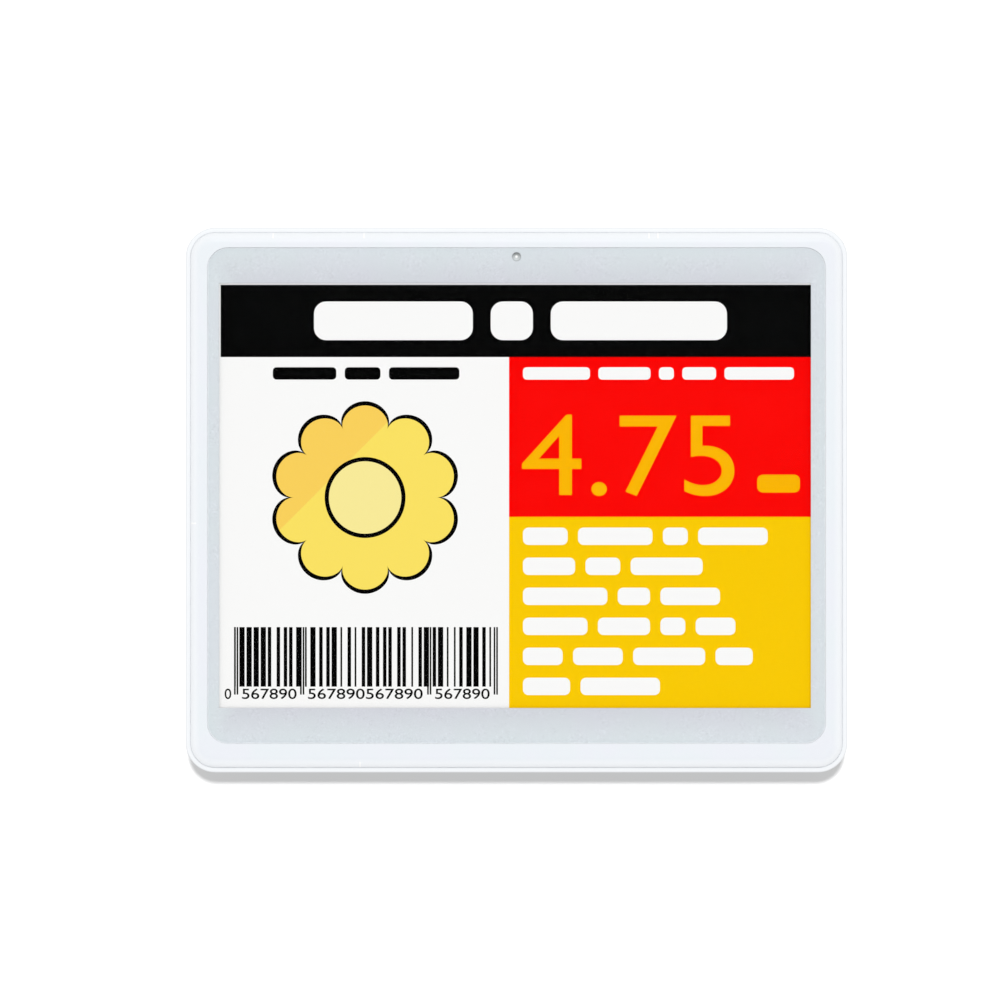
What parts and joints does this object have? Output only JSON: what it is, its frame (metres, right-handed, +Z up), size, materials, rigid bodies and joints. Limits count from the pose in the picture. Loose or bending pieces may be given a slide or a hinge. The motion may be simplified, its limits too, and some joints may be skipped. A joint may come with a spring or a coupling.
{
  "type": "electronic shelf label",
  "caption": "Thin rounded electronic shelf label: a colour paper display behind a clear window, a status light, bracket slots and coin-cell cassettes that pull out of the back.",
  "frame": {"origin": "centre of the rear face, midway between the bracket slots", "axes": "+X to the right of the display as it is read, +Y out of the back, +Z up"},
  "size_m": [0.1334, 0.0115, 0.1098],
  "materials": {
    "shell_white": "fine matt white",
    "frame_milky": "milky, slightly translucent",
    "lens_clear": "clear, anti-glare",
    "mask_grey": "light grey print",
    "foam_black": "black foam and tape",
    "film_paper": "paper white",
    "panel_glass": "clear",
    "chip_black": "moulded black",
    "carrier_plastic": "moulded grey",
    "board_green": "solder mask",
    "polyimide": "amber film",
    "bright_steel": "nickel-plated",
    "part_cream": "moulded cream",
    "pipe_clear": "clear"
  },
  "bodies": {
    "label": {"rear_housing": "shell_white", "front_frame": "frame_milky", "window_lens": "lens_clear", "mask_print": "mask_grey", "lens_tape": "foam_black", "display_gasket": "foam_black", "display_film": "film_paper", "display_glass": "panel_glass", "driver_chip": "chip_black", "display_flex": "polyimide", "display_tape": "foam_black", "display_carrier": "carrier_plastic", "circuit_board": "board_green", "board_screws": "bright_steel", "radio_chip": "chip_black", "memory_chip": "chip_black", "boost_coil": "chip_black", "crystals": "bright_steel", "capacitors": "part_cream", "flex_connector": "part_cream", "board_antenna": "bright_steel", "indicator_led": "part_cream", "light_pipe": "pipe_clear", "battery_contacts": "bright_steel"},
    "left_battery": {"cassette_left": "shell_white", "cells_left": "bright_steel", "link_strip_left": "bright_steel"},
    "right_battery": {"cassette_right": "shell_white", "cells_right": "bright_steel", "link_strip_right": "bright_steel"}
  },
  "joints": [
    {"name": "left_cassette_slide", "type": "slide", "parent": "label", "child": "left_battery", "axis": [0, 1, 0], "range_m": [0, 0.02]},
    {"name": "right_cassette_slide", "type": "slide", "parent": "label", "child": "right_battery", "axis": [0, 1, 0], "range_m": [0, 0.02]}
  ]
}
